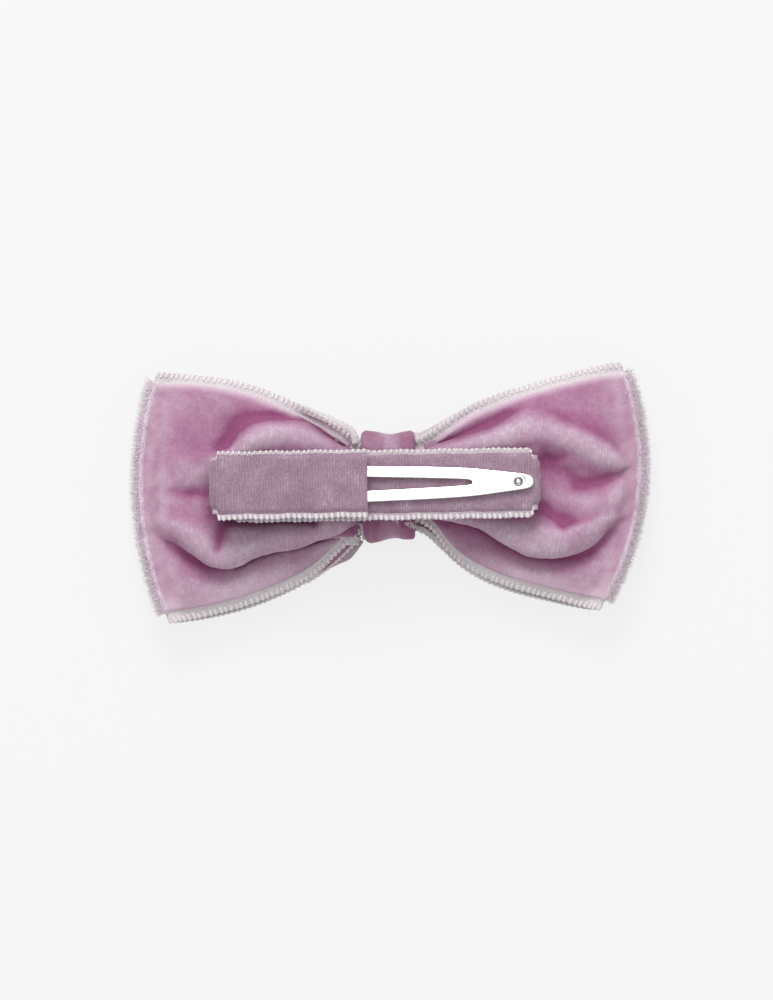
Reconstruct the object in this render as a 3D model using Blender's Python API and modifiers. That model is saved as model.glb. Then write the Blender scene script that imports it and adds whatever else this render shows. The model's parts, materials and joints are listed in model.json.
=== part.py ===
"""Velvet bow barrette: a two-loop ribbon bow on a ribbon-lined steel snap clip.

The bow lies face down on the plane z = 0. +X runs along the bow, +Y across the
ribbon and +Z from the bow's face to the hair side of the clip. The clip's legs
turn about the bight at its left end.
"""
import math

import bmesh
import bpy

MM = 0.001

# Bow ribbon and its two loops
BOW_SPAN = 76.6 * MM            # from outer fold to outer fold
RIBBON_WIDTH = 36.6 * MM        # across a loop at its outer fold, as it lies
RIBBON_THICKNESS = 1.0 * MM     # woven back and pile together
LOOP_DEPTH = 11.4 * MM          # a puffed loop from front to back
FOLD_RADIUS = 1.9 * MM          # centre line of the tight outer fold
EDGE_FLARE = 0.5                # power of the width's growth away from the waist
WAIST_HEIGHT = 12.0 * MM        # gathered ribbon beside the knot
WAIST_DEPTH = 5.8 * MM          # gathered ribbon, front to back
WAIST_Y = 0.9 * MM              # the knot sits a little above the middle

# How each loop hangs: lean of the outer fold, bulge of the fold and shift of its middle along Y
LOOP_LEAN = {"left": math.radians(3.1), "right": math.radians(5.0)}
LOOP_BULGE = {"left": 3.3 * MM, "right": 4.4 * MM}
LOOP_SHIFT = {"left": -0.8 * MM, "right": 1.0 * MM}

# Ribbon end that shows beside the knot
TAB_REACH = 5.4 * MM            # out from the knot's side
TAB_WIDTH = 14.0 * MM
TAB_DROP = 1.5 * MM             # its middle sits below the waist's

# Gathering thread and knot band
THREAD_DIAMETER = 0.6 * MM
THREAD_TURNS = 3
THREAD_PITCH = 1.1 * MM
KNOT_WIDTH = 8.0 * MM
KNOT_THICKNESS = 1.0 * MM
KNOT_X = -0.3 * MM

# Snap clip and its lining
CLIP_LENGTH = 45.2 * MM         # from the hinge line to the nose
CLIP_X = -24.0 * MM             # hinge line
CLIP_Y = 1.1 * MM
CLIP_TURN = math.radians(1.0)   # the clip is glued on slightly askew
TONGUE_THICKNESS = 0.5 * MM
TONGUE_HALF_WIDTH = 2.7 * MM
LEG_THICKNESS = 0.6 * MM
LEG_WIDTH = 1.6 * MM
LEGS_HALF_WIDTH = 3.4 * MM      # over both legs at the bight
SHOULDER_HALF_WIDTH = 1.95 * MM
SHOULDER_FROM_NOSE = 9.0 * MM
NOSE_RADIUS = 1.05 * MM
SLOT_FROM_NOSE = 9.1 * MM       # round end of the slot between the legs
SLOT_TIP_RADIUS = 0.38 * MM
RIVET_FROM_NOSE = 2.3 * MM
RIVET_RADIUS = 0.42 * MM
RIVET_STAND = 0.1 * MM          # its head above the legs
LINING_WIDTH = 9.9 * MM
LINING_THICKNESS = 1.0 * MM
LINING_OVERHANG = 1.0 * MM      # past the nose, to the outside of the fold
LINING_START = 3.2 * MM         # hair-side end, from the hinge line
COVER_LENGTH = 20.7 * MM        # from the hinge line to its cut edge
GLUE_THICKNESS = 0.4 * MM
OPENING_ANGLE = math.radians(20)

# Clearance between pieces that touch
GAP = 0.3 * MM
HINGE_SPARE = math.radians(5)   # left between the cover and the lining when the clip is open

# Levels that follow from the sizes above
LOOP_Z = LOOP_DEPTH / 2
THREAD_ROOM = THREAD_DIAMETER + 2 * GAP
KNOT_HEIGHT = WAIST_HEIGHT + 2 * (THREAD_ROOM + KNOT_THICKNESS)
KNOT_DEPTH = WAIST_DEPTH + 2 * (THREAD_ROOM + KNOT_THICKNESS)
KNOT_TOP = LOOP_Z + KNOT_DEPTH / 2
GLUE_Z = KNOT_TOP + GAP
CLIP_Z = max(GLUE_Z + GLUE_THICKNESS, LOOP_DEPTH) + GAP
LOWER_LINING_Z = CLIP_Z + LINING_THICKNESS / 2
TONGUE_Z = CLIP_Z + LINING_THICKNESS + GAP
UPPER_LINING_Z = TONGUE_Z + TONGUE_THICKNESS + GAP + LINING_THICKNESS / 2
LEGS_Z = UPPER_LINING_Z + LINING_THICKNESS / 2 + GAP
COVER_Z = LEGS_Z + LEG_THICKNESS + GAP + LINING_THICKNESS / 2
HINGE_Z = (LOWER_LINING_Z + COVER_Z) / 2
LINING_TURN_RADIUS = (UPPER_LINING_Z - LOWER_LINING_Z) / 2
LINING_TURN_X = CLIP_LENGTH + LINING_OVERHANG - LINING_THICKNESS / 2 - LINING_TURN_RADIUS

COLOURS = {
    "bow velvet": ((0.47, 0.28, 0.39), 0.85, 0.0),
    "knot velvet": ((0.40, 0.22, 0.32), 0.85, 0.0),
    "lining velvet": ((0.36, 0.25, 0.32), 0.85, 0.0),
    "thread": ((0.33, 0.20, 0.27), 0.7, 0.0),
    "glue": ((0.80, 0.78, 0.72), 0.35, 0.0),
    "spring steel": ((0.80, 0.80, 0.79), 0.15, 1.0),
}


def clear_scene():
    for thing in list(bpy.data.objects):
        bpy.data.objects.remove(thing, do_unlink=True)


def material(name):
    found = bpy.data.materials.get(name)
    if found:
        return found
    colour, roughness, metallic = COLOURS[name]
    made = bpy.data.materials.new(name)
    made.use_nodes = True
    shader = made.node_tree.nodes["Principled BSDF"]
    shader.inputs["Base Color"].default_value = (*colour, 1.0)
    shader.inputs["Roughness"].default_value = roughness
    shader.inputs["Metallic"].default_value = metallic
    return made


def add_object(name, data, finish, collection, parent=None):
    made = bpy.data.objects.new(name, data)
    data.materials.append(material(finish))
    collection.objects.link(made)
    made.parent = parent
    return made


def add_empty(name, collection, place, turn=0.0, parent=None):
    made = bpy.data.objects.new(name, None)
    made.location = place
    made.rotation_euler = (0.0, 0.0, turn)
    collection.objects.link(made)
    made.parent = parent
    return made


def shell(name, rows, thickness, finish, collection, parent=None, closed=False):
    """Ribbon or strip: an open surface through rows of points, thickened both ways."""
    mesh = bpy.data.meshes.new(name)
    bm = bmesh.new()
    grid = [[bm.verts.new(point) for point in row] for row in rows]
    following = grid[1:] + ([grid[0]] if closed else [])
    for row, after in zip(grid, following):
        for i in range(len(row) - 1):
            bm.faces.new((row[i], row[i + 1], after[i + 1], after[i]))
    bm.to_mesh(mesh)
    bm.free()
    mesh.shade_smooth()
    made = add_object(name, mesh, finish, collection, parent)
    solidify = made.modifiers.new("thickness", "SOLIDIFY")
    solidify.thickness = thickness
    solidify.offset = 0.0
    solidify.use_even_offset = True
    return made


def flat_plate(name, outlines, thickness, finish, collection, parent, place):
    """Sheet metal cut to an outline, with any further outlines as holes."""
    curve = bpy.data.curves.new(name, "CURVE")
    curve.dimensions = "2D"
    curve.fill_mode = "BOTH"
    curve.extrude = thickness / 2
    for outline in outlines:
        spline = curve.splines.new("POLY")
        spline.points.add(len(outline) - 1)
        for point, (x, y) in zip(spline.points, outline):
            point.co = (x, y, 0.0, 1.0)
        spline.use_cyclic_u = True
    made = add_object(name, curve, finish, collection, parent)
    made.location = place
    return made


def arc(centre, radius, start, end, steps):
    """Points on an arc in a plane, both ends included."""
    angles = [start + (end - start) * i / steps for i in range(steps + 1)]
    return [(centre[0] + radius * math.cos(a), centre[1] + radius * math.sin(a)) for a in angles]


def mix(a, b, share):
    return a + (b - a) * share


def fold_point(side, across):
    """Point of a loop's outer fold, with across from -1 at the lower edge to 1 at the upper one."""
    sign = -1 if side == "left" else 1
    lean = LOOP_LEAN[side]
    bulge = LOOP_BULGE[side]
    reach = across * RIBBON_WIDTH / 2
    x = BOW_SPAN / 2 - bulge + reach * math.sin(lean) + bulge * (1 - across ** 2)
    return sign * x, LOOP_SHIFT[side] + reach * math.cos(lean)


def bow_loop(side, collection):
    """A loop: back panel out from the waist, round the outer fold and back along the front panel."""
    sign = -1 if side == "left" else 1
    waist_x = KNOT_X + sign * (KNOT_WIDTH / 2 + GAP)
    waist_z = (WAIST_DEPTH - RIBBON_THICKNESS) / 2
    puff = LOOP_DEPTH / 2 - RIBBON_THICKNESS / 2 - (waist_z + FOLD_RADIUS) / 2
    panel_steps = 12
    fold_steps = 6
    width_steps = 8
    profile = []
    for i in range(panel_steps + 1):
        out = (i / panel_steps) ** 1.4
        profile.append((out, 0.0, mix(waist_z, FOLD_RADIUS, out) + puff * math.sin(math.pi * out)))
    for x, z in arc((0, 0), FOLD_RADIUS, math.pi / 2, 0, fold_steps // 2)[1:]:
        profile.append((1.0, x, z))
    back = [(out, past, z) for out, past, z in profile]
    front = [(out, past, -z) for out, past, z in reversed(profile[:-1])]
    rows = []
    for out, past, z in back + front:
        row = []
        for j in range(width_steps + 1):
            across = 2 * j / width_steps - 1
            fold_x, fold_y = fold_point(side, across)
            fold_x -= sign * (FOLD_RADIUS + RIBBON_THICKNESS / 2)
            x = mix(waist_x, fold_x, out) + sign * past
            y = mix(WAIST_Y + across * WAIST_HEIGHT / 2, fold_y, out ** EDGE_FLARE)
            row.append((x, y, LOOP_Z + z))
        rows.append(row)
    shell(f"bow_loop_{side}", rows, RIBBON_THICKNESS, "bow velvet", collection)


def bow_waist(collection):
    """Gathered middle of the ribbon, inside the knot."""
    bpy.ops.mesh.primitive_cylinder_add(vertices=24, radius=0.5, depth=1.0, rotation=(0.0, math.pi / 2, 0.0))
    made = bpy.context.active_object
    made.name = "bow_waist"
    made.scale = (WAIST_DEPTH, WAIST_HEIGHT, KNOT_WIDTH)
    bpy.ops.object.transform_apply(location=False, rotation=True, scale=True)
    made.location = (KNOT_X, WAIST_Y, LOOP_Z)
    made.data.materials.append(material("bow velvet"))
    for linked in made.users_collection:
        linked.objects.unlink(made)
    collection.objects.link(made)


def gathering_thread(collection):
    """Thread wound round the waist under the knot."""
    steps_per_turn = 20
    away = GAP + THREAD_DIAMETER / 2
    curve = bpy.data.curves.new("gathering_thread", "CURVE")
    curve.dimensions = "3D"
    curve.bevel_depth = THREAD_DIAMETER / 2
    curve.bevel_resolution = 1
    curve.use_fill_caps = True
    spline = curve.splines.new("POLY")
    count = THREAD_TURNS * steps_per_turn
    spline.points.add(count)
    for i in range(count + 1):
        angle = 2 * math.pi * i / steps_per_turn
        x = THREAD_PITCH * (i / steps_per_turn - THREAD_TURNS / 2)
        y = (WAIST_HEIGHT / 2 + away) * math.cos(angle)
        z = (WAIST_DEPTH / 2 + away) * math.sin(angle)
        spline.points[i].co = (x, y, z, 1.0)
    made = add_object("gathering_thread", curve, "thread", collection)
    made.location = (KNOT_X, WAIST_Y, LOOP_Z)


def knot_band(collection):
    """Band of velvet wrapped once round the waist."""
    steps = 32
    half_height = (KNOT_HEIGHT - KNOT_THICKNESS) / 2
    half_depth = (KNOT_DEPTH - KNOT_THICKNESS) / 2
    rows = []
    for i in range(steps):
        angle = 2 * math.pi * i / steps
        y = WAIST_Y + half_height * math.cos(angle)
        z = LOOP_Z + half_depth * math.sin(angle)
        rows.append([(KNOT_X + side * KNOT_WIDTH / 2, y, z) for side in (-1, 0, 1)])
    shell("knot_band", rows, KNOT_THICKNESS, "knot velvet", collection, closed=True)


def ribbon_end_tab(collection):
    """Cut end of the bow ribbon, flat inside the left loop."""
    start = KNOT_X - KNOT_WIDTH / 2 - GAP
    middle = WAIST_Y - TAB_DROP
    rows = [[(x, middle + share * TAB_WIDTH / 2, LOOP_Z) for share in (-1, 0, 1)]
            for x in (start, start - TAB_REACH / 2, start - TAB_REACH)]
    shell("ribbon_end_tab", rows, RIBBON_THICKNESS, "bow velvet", collection)


def glue_pad(collection):
    """Glue between the knot and the clip's lining."""
    bpy.ops.mesh.primitive_cube_add(size=1.0)
    made = bpy.context.active_object
    made.name = "glue_pad"
    made.scale = (KNOT_WIDTH - 2 * KNOT_THICKNESS, KNOT_HEIGHT / 3, CLIP_Z - GAP - GLUE_Z)
    bpy.ops.object.transform_apply(location=False, rotation=False, scale=True)
    made.location = (KNOT_X, WAIST_Y, (CLIP_Z - GAP + GLUE_Z) / 2)
    made.data.materials.append(material("glue"))
    for linked in made.users_collection:
        linked.objects.unlink(made)
    collection.objects.link(made)
    bevel = made.modifiers.new("soft edge", "BEVEL")
    bevel.width = GLUE_THICKNESS / 3
    bevel.segments = 2


def clip_strip(name, route, width, thickness, finish, collection, parent):
    """Strip of constant width along a route of (x, z) points measured from the hinge line."""
    rows = [[(x, share * width / 2, z) for share in (-1, 0, 1)] for x, z in route]
    return shell(name, rows, thickness, finish, collection, parent)


def lining_ribbon(collection, clip):
    """Lining from the bight along the bow side, round the tongue's tip and back along the hair side."""
    low = LOWER_LINING_Z - HINGE_Z
    high = UPPER_LINING_Z - HINGE_Z
    middle = LINING_TURN_X / 2
    tip = arc((LINING_TURN_X, (low + high) / 2), LINING_TURN_RADIUS, -math.pi / 2, math.pi / 2, 8)
    route = [(GAP, low), (middle, low)] + tip + [(middle, high), (LINING_START, high)]
    clip_strip("lining_ribbon", route, LINING_WIDTH, LINING_THICKNESS, "lining velvet", collection, clip)


def lining_cover(collection, legs):
    """Lining over the bight and the left half of the legs."""
    level = COVER_Z - HINGE_Z
    last = math.radians(270) - OPENING_ANGLE - HINGE_SPARE
    route = [(COVER_LENGTH, level), (COVER_LENGTH / 2, level)] + arc((0, 0), level, math.pi / 2, last, 10)
    clip_strip("lining_cover", route, LINING_WIDTH, LINING_THICKNESS, "lining velvet", collection, legs)


def clip_bight(collection, legs):
    """Bent end of the stamping, centred on the hinge line."""
    radius = LEGS_Z + LEG_THICKNESS / 2 - HINGE_Z
    last = math.radians(270) - OPENING_ANGLE - HINGE_SPARE
    route = arc((0, 0), radius, math.pi / 2, last, 10)
    clip_strip("clip_bight", route, 2 * LEGS_HALF_WIDTH, LEG_THICKNESS, "spring steel", collection, legs)


def clip_tongue(collection, clip):
    """Wide middle tongue of the stamping, inside the lining."""
    radius = TONGUE_HALF_WIDTH
    tip = arc((LINING_TURN_X - radius, 0), radius, -math.pi / 2, math.pi / 2, 12)
    outline = [(GAP, -radius)] + tip + [(GAP, radius)]
    place = (0.0, 0.0, TONGUE_Z + TONGUE_THICKNESS / 2 - HINGE_Z)
    flat_plate("clip_tongue", [outline], TONGUE_THICKNESS, "spring steel", collection, clip, place)


def legs_outline():
    """Upper half of the legs' outer edge from the bight to the nose, as (x, y) points."""
    shoulder = (CLIP_LENGTH - SHOULDER_FROM_NOSE, SHOULDER_HALF_WIDTH)
    nose = arc((CLIP_LENGTH - NOSE_RADIUS, 0), NOSE_RADIUS, math.radians(80), 0, 5)
    return [(GAP, LEGS_HALF_WIDTH), shoulder] + nose


def slot_outline():
    """Slot between the legs, whose sides keep the legs' width constant."""
    slope = (LEGS_HALF_WIDTH - SHOULDER_HALF_WIDTH) / (CLIP_LENGTH - SHOULDER_FROM_NOSE)
    start = 2 * LEG_WIDTH
    half = LEGS_HALF_WIDTH - slope * start - LEG_WIDTH
    tip = arc((CLIP_LENGTH - SLOT_FROM_NOSE - SLOT_TIP_RADIUS, 0), SLOT_TIP_RADIUS, math.pi / 2, 0, 4)
    upper = [(start, half / 2), (start + half / 2, half)] + tip
    lower = [(x, -y) for x, y in reversed(upper[:-1])]
    return upper + lower


def clip_legs(collection, legs):
    """Two legs that run from the bight to the riveted nose."""
    upper = legs_outline()
    outer = upper + [(x, -y) for x, y in reversed(upper[:-1])]
    hole = arc((CLIP_LENGTH - RIVET_FROM_NOSE, 0), RIVET_RADIUS + GAP, 0, 2 * math.pi, 16)[:-1]
    place = (0.0, 0.0, LEGS_Z + LEG_THICKNESS / 2 - HINGE_Z)
    outlines = [outer, slot_outline(), hole]
    flat_plate("clip_legs", outlines, LEG_THICKNESS, "spring steel", collection, legs, place)


def nose_rivet(collection, legs):
    """Rivet through the legs' overlapped ends, turned about its own axis."""
    height = LEG_THICKNESS + RIVET_STAND
    mesh = bpy.data.meshes.new("nose_rivet")
    bm = bmesh.new()
    profile = [(0.0, height), (RIVET_RADIUS * 0.7, height), (RIVET_RADIUS, height - RIVET_STAND)]
    profile += [(RIVET_RADIUS, 0.0), (0.0, 0.0)]
    points = [bm.verts.new((x, 0.0, z)) for x, z in profile]
    for first, second in zip(points, points[1:]):
        bm.edges.new((first, second))
    bm.to_mesh(mesh)
    bm.free()
    made = add_object("nose_rivet", mesh, "spring steel", collection, legs)
    made.location = (CLIP_LENGTH - RIVET_FROM_NOSE, 0.0, LEGS_Z - HINGE_Z)
    screw = made.modifiers.new("turn", "SCREW")
    screw.axis = "Z"
    screw.steps = 16
    screw.render_steps = 16
    screw.use_merge_vertices = True
    screw.merge_threshold = 0.00001


def build():
    clear_scene()
    collection = bpy.data.collections.new("velvet bow barrette")
    bpy.context.scene.collection.children.link(collection)
    for side in ("left", "right"):
        bow_loop(side, collection)
    bow_waist(collection)
    ribbon_end_tab(collection)
    gathering_thread(collection)
    knot_band(collection)
    glue_pad(collection)
    clip = add_empty("clip fixed half", collection, (CLIP_X, CLIP_Y, HINGE_Z), CLIP_TURN)
    legs = add_empty("clip hinge line", collection, (0.0, 0.0, 0.0), parent=clip)
    lining_ribbon(collection, clip)
    clip_tongue(collection, clip)
    clip_bight(collection, legs)
    clip_legs(collection, legs)
    nose_rivet(collection, legs)
    lining_cover(collection, legs)


build()
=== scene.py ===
"""Looks of the velvet bow barrette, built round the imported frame.

Lengths are in millimetres until a mesh is made."""
import json
import math
import random

import bmesh
import bpy
import numpy as np
from mathutils import Matrix, Vector, noise


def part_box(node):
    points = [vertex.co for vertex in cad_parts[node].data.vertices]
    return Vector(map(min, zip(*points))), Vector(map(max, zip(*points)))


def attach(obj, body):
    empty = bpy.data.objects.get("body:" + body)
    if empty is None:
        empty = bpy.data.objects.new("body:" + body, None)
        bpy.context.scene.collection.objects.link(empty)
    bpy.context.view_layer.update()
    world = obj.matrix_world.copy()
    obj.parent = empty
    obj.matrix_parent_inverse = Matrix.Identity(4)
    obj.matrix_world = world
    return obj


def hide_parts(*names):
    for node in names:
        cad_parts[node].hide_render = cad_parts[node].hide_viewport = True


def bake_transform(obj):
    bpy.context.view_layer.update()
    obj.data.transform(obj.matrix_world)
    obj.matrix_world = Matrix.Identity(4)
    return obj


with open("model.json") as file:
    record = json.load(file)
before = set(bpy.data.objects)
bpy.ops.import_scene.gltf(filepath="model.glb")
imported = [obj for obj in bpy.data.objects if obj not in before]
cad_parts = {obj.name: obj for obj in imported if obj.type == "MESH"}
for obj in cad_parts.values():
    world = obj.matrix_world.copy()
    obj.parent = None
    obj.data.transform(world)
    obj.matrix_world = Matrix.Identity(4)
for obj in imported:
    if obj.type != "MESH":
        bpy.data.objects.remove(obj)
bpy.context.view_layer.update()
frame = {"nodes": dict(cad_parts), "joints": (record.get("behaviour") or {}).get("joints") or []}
MM = 0.001


def cad_box(node):
    """Lowest and highest corner of a CAD node, in millimetres."""
    low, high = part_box(node)
    return [c / MM for c in low], [c / MM for c in high]


def middle_and_half(node):
    """Middle of a CAD node's box and half its size, in millimetres."""
    low, high = cad_box(node)
    return [(a + b) / 2 for a, b in zip(low, high)], [(b - a) / 2 for a, b in zip(low, high)]


# ---------------------------------------------------------------- camera, light and floor

VIEW_HEIGHT = 148.0             # what the picture's height covers at the bow
VIEW_CENTRE = (-0.5, -0.9)
VIEW_LEVEL = 8.0                # height at which that is true
CAMERA_DISTANCE = 1300.0
SENSOR = 36.0


def add_camera():
    data = bpy.data.cameras.new("camera")
    data.sensor_fit = "VERTICAL"
    data.sensor_height = SENSOR
    data.lens = SENSOR * CAMERA_DISTANCE / VIEW_HEIGHT
    data.clip_end = 10.0
    camera = bpy.data.objects.new("camera", data)
    camera.location = (VIEW_CENTRE[0] * MM, VIEW_CENTRE[1] * MM, (VIEW_LEVEL + CAMERA_DISTANCE) * MM)
    bpy.context.scene.collection.objects.link(camera)
    bpy.context.scene.camera = camera


def add_area_light(name, place, size, watts):
    data = bpy.data.lights.new(name, "AREA")
    data.shape = "DISK"
    data.size = size
    data.energy = watts
    light = bpy.data.objects.new(name, data)
    light.location = place
    light.rotation_euler = (-Vector(place)).to_track_quat("-Z", "Y").to_euler()
    bpy.context.scene.collection.objects.link(light)


def add_studio():
    add_area_light("key light from above the bow", (-0.10, 0.62, 0.62), 0.45, 5.4)
    add_area_light("overhead panel", (0.0, 0.05, 1.25), 0.8, 1.7)
    world = bpy.data.worlds.new("studio")
    bpy.context.scene.world = world
    world.use_nodes = True
    nodes, links = world.node_tree.nodes, world.node_tree.links
    nodes.clear()
    output = nodes.new("ShaderNodeOutputWorld")
    fill = nodes.new("ShaderNodeBackground")
    set_sockets(fill, {"Color": (1.0, 1.0, 1.0, 1.0), "Strength": 0.64})
    links.new(fill.outputs[0], output.inputs["Surface"])
    bpy.context.scene.view_settings.view_transform = "Standard"
    bpy.ops.mesh.primitive_plane_add(size=4.0, location=(0, 0, 0))
    floor = bpy.context.active_object
    floor.name = "floor"
    # The floor glows by itself, as a light table does, because the photo has almost no shadow on it
    pale, _, shader = new_material("light table")
    set_sockets(shader, {"Base Color": (0.12, 0.12, 0.12, 1.0), "Roughness": 1.0, "Specular IOR Level": 0.0,
                         "Emission Color": (1.0, 1.0, 1.0, 1.0), "Emission Strength": 0.79})
    floor.data.materials.append(pale)


# ---------------------------------------------------------------- materials

def new_material(name):
    material = bpy.data.materials.new(name)
    material.use_nodes = True
    tree = material.node_tree
    return material, tree, tree.nodes["Principled BSDF"]


def set_sockets(made, values):
    for key, value in values.items():
        made.inputs[key].default_value = value


def node(tree, kind, **settings):
    made = tree.nodes.new(kind)
    for key, value in settings.items():
        setattr(made, key, value)
    return made


def math_node(tree, operation, first, second=None, third=None):
    made = node(tree, "ShaderNodeMath", operation=operation)
    for socket, value in zip(made.inputs, (first, second, third)):
        if value is None:
            continue
        if isinstance(value, (int, float)):
            socket.default_value = value
        else:
            tree.links.new(value, socket)
    return made.outputs[0]


def noise_node(tree, per_mm, detail=2.0, roughness=0.5, vector=None):
    """Noise whose grains are about 1 / per_mm millimetres across."""
    made = node(tree, "ShaderNodeTexNoise")
    set_sockets(made, {"Scale": per_mm / MM, "Detail": detail, "Roughness": roughness})
    if vector is None:
        vector = node(tree, "ShaderNodeTexCoord").outputs["Object"]
    tree.links.new(vector, made.inputs["Vector"])
    return made.outputs["Fac"]


def mix_colour(tree, share, first, second, blend="MIX"):
    made = node(tree, "ShaderNodeMix", data_type="RGBA", blend_type=blend)
    made.clamp_factor = True
    for socket, value in ((made.inputs[0], share), (made.inputs[6], first), (made.inputs[7], second)):
        if isinstance(value, (int, float)):
            socket.default_value = value
        elif isinstance(value, tuple):
            socket.default_value = (*value, 1.0)
        else:
            tree.links.new(value, socket)
    return made.outputs[2]


def ramp(tree, value, low, high, to_low=0.0, to_high=1.0):
    made = node(tree, "ShaderNodeMapRange", clamp=True)
    tree.links.new(value, made.inputs["Value"])
    set_sockets(made, {"From Min": low, "From Max": high, "To Min": to_low, "To Max": to_high})
    return made.outputs[0]


def add_bump(tree, shader, height, strength, distance):
    """Relief of distance millimetres where height is 1."""
    bump = node(tree, "ShaderNodeBump")
    set_sockets(bump, {"Strength": strength, "Distance": distance * MM})
    tree.links.new(height, bump.inputs["Height"])
    tree.links.new(bump.outputs[0], shader.inputs["Normal"])


def cloth_position(tree):
    """(along, across) of the ribbon in millimetres, from its cloth UV map."""
    uv = node(tree, "ShaderNodeUVMap", uv_map="cloth")
    split = node(tree, "ShaderNodeSeparateXYZ")
    tree.links.new(uv.outputs[0], split.inputs[0])
    along = math_node(tree, "MULTIPLY", split.outputs[0], UV_MM)
    across = math_node(tree, "MULTIPLY", split.outputs[1], UV_MM)
    return along, across


def stripes(tree, position, pitch):
    """1 on each stripe and 0 between stripes, softly."""
    wave = math_node(tree, "SINE", math_node(tree, "MULTIPLY", position, 2 * math.pi / pitch))
    return math_node(tree, "MULTIPLY_ADD", wave, 0.5, 0.5)


def attribute(tree, name):
    return node(tree, "ShaderNodeAttribute", attribute_name=name).outputs["Fac"]


ROW_PITCH = 0.43                # between rows of pile
SELVAGE_WIDTH = 1.55
TOOTH_PITCH = 0.8               # between the turns of weft along a selvage
UV_MM = 100.0                   # millimetres to one UV unit
SELVAGE_THIN = 0.42             # share of the ribbon's full thickness at its selvages
TURN_SIZE = (0.9, 0.50, 0.26)   # a turn of weft's length, width and height


def cloth_noise(tree, along, across, per_mm_along, per_mm_across):
    """Noise that lies in the cloth, its grains longer one way than the other."""
    place = node(tree, "ShaderNodeCombineXYZ")
    tree.links.new(math_node(tree, "MULTIPLY", along, per_mm_along), place.inputs[0])
    tree.links.new(math_node(tree, "MULTIPLY", across, per_mm_across), place.inputs[1])
    already_scaled = 1.0 * MM
    return noise_node(tree, already_scaled, 3.0, 0.7, place.outputs[0])


THIN_PILE_AND_PAINTED_LIGHT = (0.66, 0.53, 0.61)  # where the ground shows through, by the selvages, and painted light along the lower one
FOLD_PAINTED_LIGHT = (0.72, 0.61, 0.68)  # painted light and a painted crease highlight on the outer fold
GLINT = (0.72, 0.66, 0.70)


def velvet(name, deep, middle, pale, sheen=0.3, grain=1.0, glints=1.0, rows=0.6):
    """Cut pile with painted shade and painted highlights: deep in the valleys, where shade falls, and pale
    where a fold spreads the pile and catches the light, with painted glints along its rows.

    It reads from the mesh the ribbon's crest, which paints that shade and those highlights, its thin pile
    along a selvage, with painted light along the lower one, and its outer fold, where the pile parts, lifted
    by painted light and a painted crease highlight."""
    material, tree, shader = new_material(name)
    along, across = cloth_position(tree)
    tufts = noise_node(tree, 3.4, 3.0, 0.7)
    flecks = noise_node(tree, 1.3 * grain, 3.0, 0.6)
    clouds = noise_node(tree, 0.20, 3.0, 0.55)
    dashes = cloth_noise(tree, along, across, 2.6, 0.8)
    row_lines = stripes(tree, along, ROW_PITCH)
    # The crest paints shade into valleys and highlights onto ridges.
    crest = attribute(tree, "crest")
    level = math_node(tree, "MULTIPLY_ADD", clouds, 1.5, -0.85)
    level = math_node(tree, "ADD", level, crest)
    level = math_node(tree, "ADD", level, math_node(tree, "MULTIPLY_ADD", flecks, 0.8, -0.4))
    colour = mix_colour(tree, ramp(tree, level, -1.0, 0.0), deep, middle)
    colour = mix_colour(tree, ramp(tree, level, 0.0, 1.1), colour, pale)
    # Paler where the pile is thin by the selvages; along the lower one, painted light lifts a wider band.
    colour = mix_colour(tree, attribute(tree, "thin"), colour, THIN_PILE_AND_PAINTED_LIGHT)
    # Painted light on the outer fold and a painted highlight along its crease.
    colour = mix_colour(tree, attribute(tree, "fold"), colour, FOLD_PAINTED_LIGHT)
    # Painted glints: pale dashes along the pile rows, only where the colour is already pale.
    spread = ramp(tree, level, 0.1, 0.9, 0.1, 1.0)
    glint = math_node(tree, "MULTIPLY", ramp(tree, dashes, 0.46, 0.74), spread)
    glint = math_node(tree, "MULTIPLY", glint, math_node(tree, "MULTIPLY_ADD", row_lines, 0.75, 0.25))
    colour = mix_colour(tree, math_node(tree, "MULTIPLY", glint, 0.6 * glints), colour, GLINT)
    pile = math_node(tree, "MULTIPLY", tufts, 1.0 - 0.1 * rows)
    shade = math_node(tree, "MULTIPLY_ADD", row_lines, 0.10 * rows, pile)
    shade = ramp(tree, shade, 0.3, 0.7, 1.0 - 0.10 * grain, 1.0 + 0.09 * grain)
    grey = node(tree, "ShaderNodeCombineColor")
    for socket in grey.inputs[:3]:
        tree.links.new(shade, socket)
    colour = mix_colour(tree, 1.0, colour, grey.outputs[0], "MULTIPLY")
    tree.links.new(colour, shader.inputs["Base Color"])
    set_sockets(shader, {"Roughness": 0.9, "Specular IOR Level": 0.1, "Sheen Weight": sheen,
                         "Sheen Roughness": 0.35, "Sheen Tint": (1.0, 0.93, 0.98, 1.0)})
    add_bump(tree, shader, math_node(tree, "MULTIPLY_ADD", dashes, 0.6, tufts), 0.7, 0.12)
    return material


def woven(name, colour, pale, pitch, depth):
    """Plain weave: the ribbon's back and its selvages."""
    material, tree, shader = new_material(name)
    along, across = cloth_position(tree)
    warp = stripes(tree, across, pitch)
    weft = stripes(tree, along, pitch)
    weave = math_node(tree, "MULTIPLY", warp, weft)
    grain = noise_node(tree, 2.6, 3.0, 0.6)
    mixed = math_node(tree, "MULTIPLY_ADD", grain, 0.7, math_node(tree, "MULTIPLY", weave, 0.5))
    tree.links.new(mix_colour(tree, ramp(tree, mixed, 0.3, 0.8), colour, pale), shader.inputs["Base Color"])
    set_sockets(shader, {"Roughness": 0.75, "Specular IOR Level": 0.3, "Sheen Weight": 0.2})
    add_bump(tree, shader, mixed, 0.8, depth)
    return material


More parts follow.
